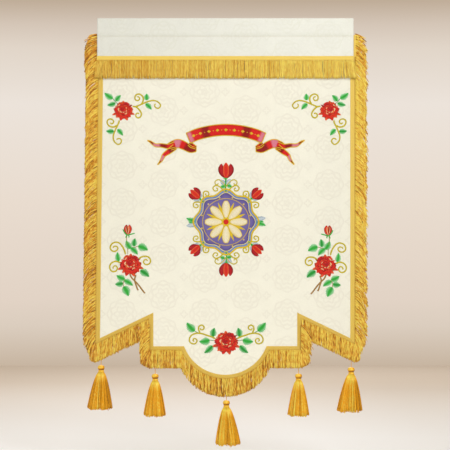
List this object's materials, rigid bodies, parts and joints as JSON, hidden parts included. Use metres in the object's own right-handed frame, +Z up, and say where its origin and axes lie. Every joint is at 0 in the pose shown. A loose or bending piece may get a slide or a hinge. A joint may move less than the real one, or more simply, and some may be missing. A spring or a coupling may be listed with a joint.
{
  "type": "church banner",
  "caption": "Processional church banner of cream damask with an empty pole sleeve, shaped lower edge, gold fringe on woven tape and gold tassels on cords.",
  "frame": {"origin": "middle of the pole sleeve's top fold, where the banner hangs from its crossbar", "axes": "+Z up, +X to the right as seen from the front, the embroidered front faces -Y"},
  "size_m": [0.8006, 0.0548, 1.199],
  "materials": {
    "damask": "satin",
    "sleeve_cloth": "satin",
    "gold_fringe": "satin",
    "gold_tassel": "satin"
  },
  "bodies": {
    "root": {"panel": "damask", "sleeve": "sleeve_cloth", "fringe_top": "gold_fringe", "fringe_left": "gold_fringe", "fringe_right": "gold_fringe", "fringe_lower": "gold_fringe", "tassel_left_tip": "gold_tassel", "tassel_left_tab": "gold_tassel", "tassel_apron": "gold_tassel", "tassel_right_tab": "gold_tassel", "tassel_right_tip": "gold_tassel"}
  },
  "joints": []
}
